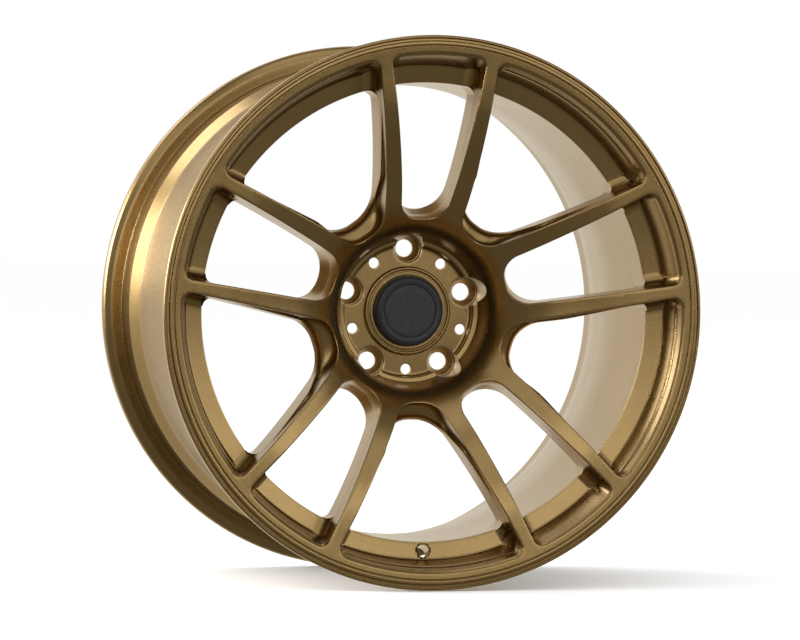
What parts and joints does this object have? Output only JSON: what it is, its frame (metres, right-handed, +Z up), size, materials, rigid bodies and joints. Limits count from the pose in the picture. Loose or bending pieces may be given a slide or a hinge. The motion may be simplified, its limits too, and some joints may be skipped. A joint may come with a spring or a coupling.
{
  "type": "racing wheel rim",
  "caption": "Concave racing wheel rim with paired straight spokes, a deep drop-centre barrel, a recessed hub pad and a snap-in centre cap.",
  "frame": {"origin": "on the spin axis, halfway between the outer faces of the two flanges", "axes": "+Y along the spin axis, from the front of the wheel to the back; +Z up, through the first lug hole"},
  "size_m": [0.4966, 0.2926, 0.4966],
  "materials": {
    "bronze": "satin",
    "cap_plastic": "satin",
    "cap_insert": "matte",
    "spring_steel": "bright"
  },
  "bodies": {
    "wheel": {"front_flange": "bronze", "front_bead_seat": "bronze", "drop_centre": "bronze", "rear_bead_seat": "bronze", "rear_flange": "bronze", "spoke_01": "bronze", "spoke_02": "bronze", "spoke_03": "bronze", "spoke_04": "bronze", "spoke_05": "bronze", "spoke_06": "bronze", "spoke_07": "bronze", "spoke_08": "bronze", "spoke_09": "bronze", "spoke_10": "bronze", "hub_segment_1": "bronze", "hub_segment_2": "bronze", "hub_segment_3": "bronze", "hub_segment_4": "bronze", "hub_segment_5": "bronze", "bore_collar": "bronze"},
    "centre_cap": {"cap_body": "cap_plastic", "cap_insert": "cap_insert", "cap_spring_ring": "spring_steel"}
  },
  "joints": [
    {"name": "cap_pull", "type": "slide", "parent": "wheel", "child": "centre_cap", "axis": [0, -1, 0], "range_m": [0, 0.045]}
  ]
}
